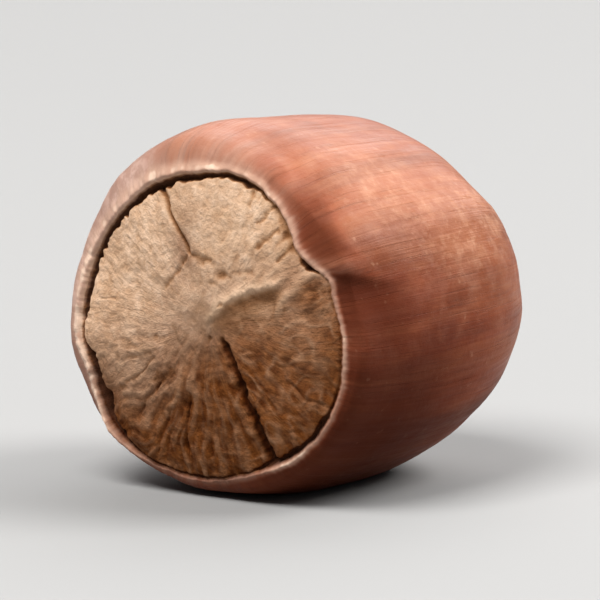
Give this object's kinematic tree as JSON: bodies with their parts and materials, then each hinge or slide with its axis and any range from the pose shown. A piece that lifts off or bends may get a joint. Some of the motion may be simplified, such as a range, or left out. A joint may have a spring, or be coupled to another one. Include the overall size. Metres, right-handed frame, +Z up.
{
  "type": "hazelnut",
  "caption": "Raw hazelnut in its shell, rounded and slightly flattened, with a pale sunken base scar behind a thin lip, opposite a small pointed tip.",
  "frame": {"origin": "under the middle of the nut, on the plane of the small flat spot that it rests on", "axes": "+Z up, square to the flat spot; +Y along the nut's own axis, from the base scar to the tip; X across its broad side"},
  "size_m": [0.0186, 0.0196, 0.0173],
  "materials": {
    "shell": "satin, faintly dusty nut shell in chestnut brown, with a matt beige base scar"
  },
  "bodies": {
    "root": {"hazelnut": "shell"}
  },
  "joints": []
}
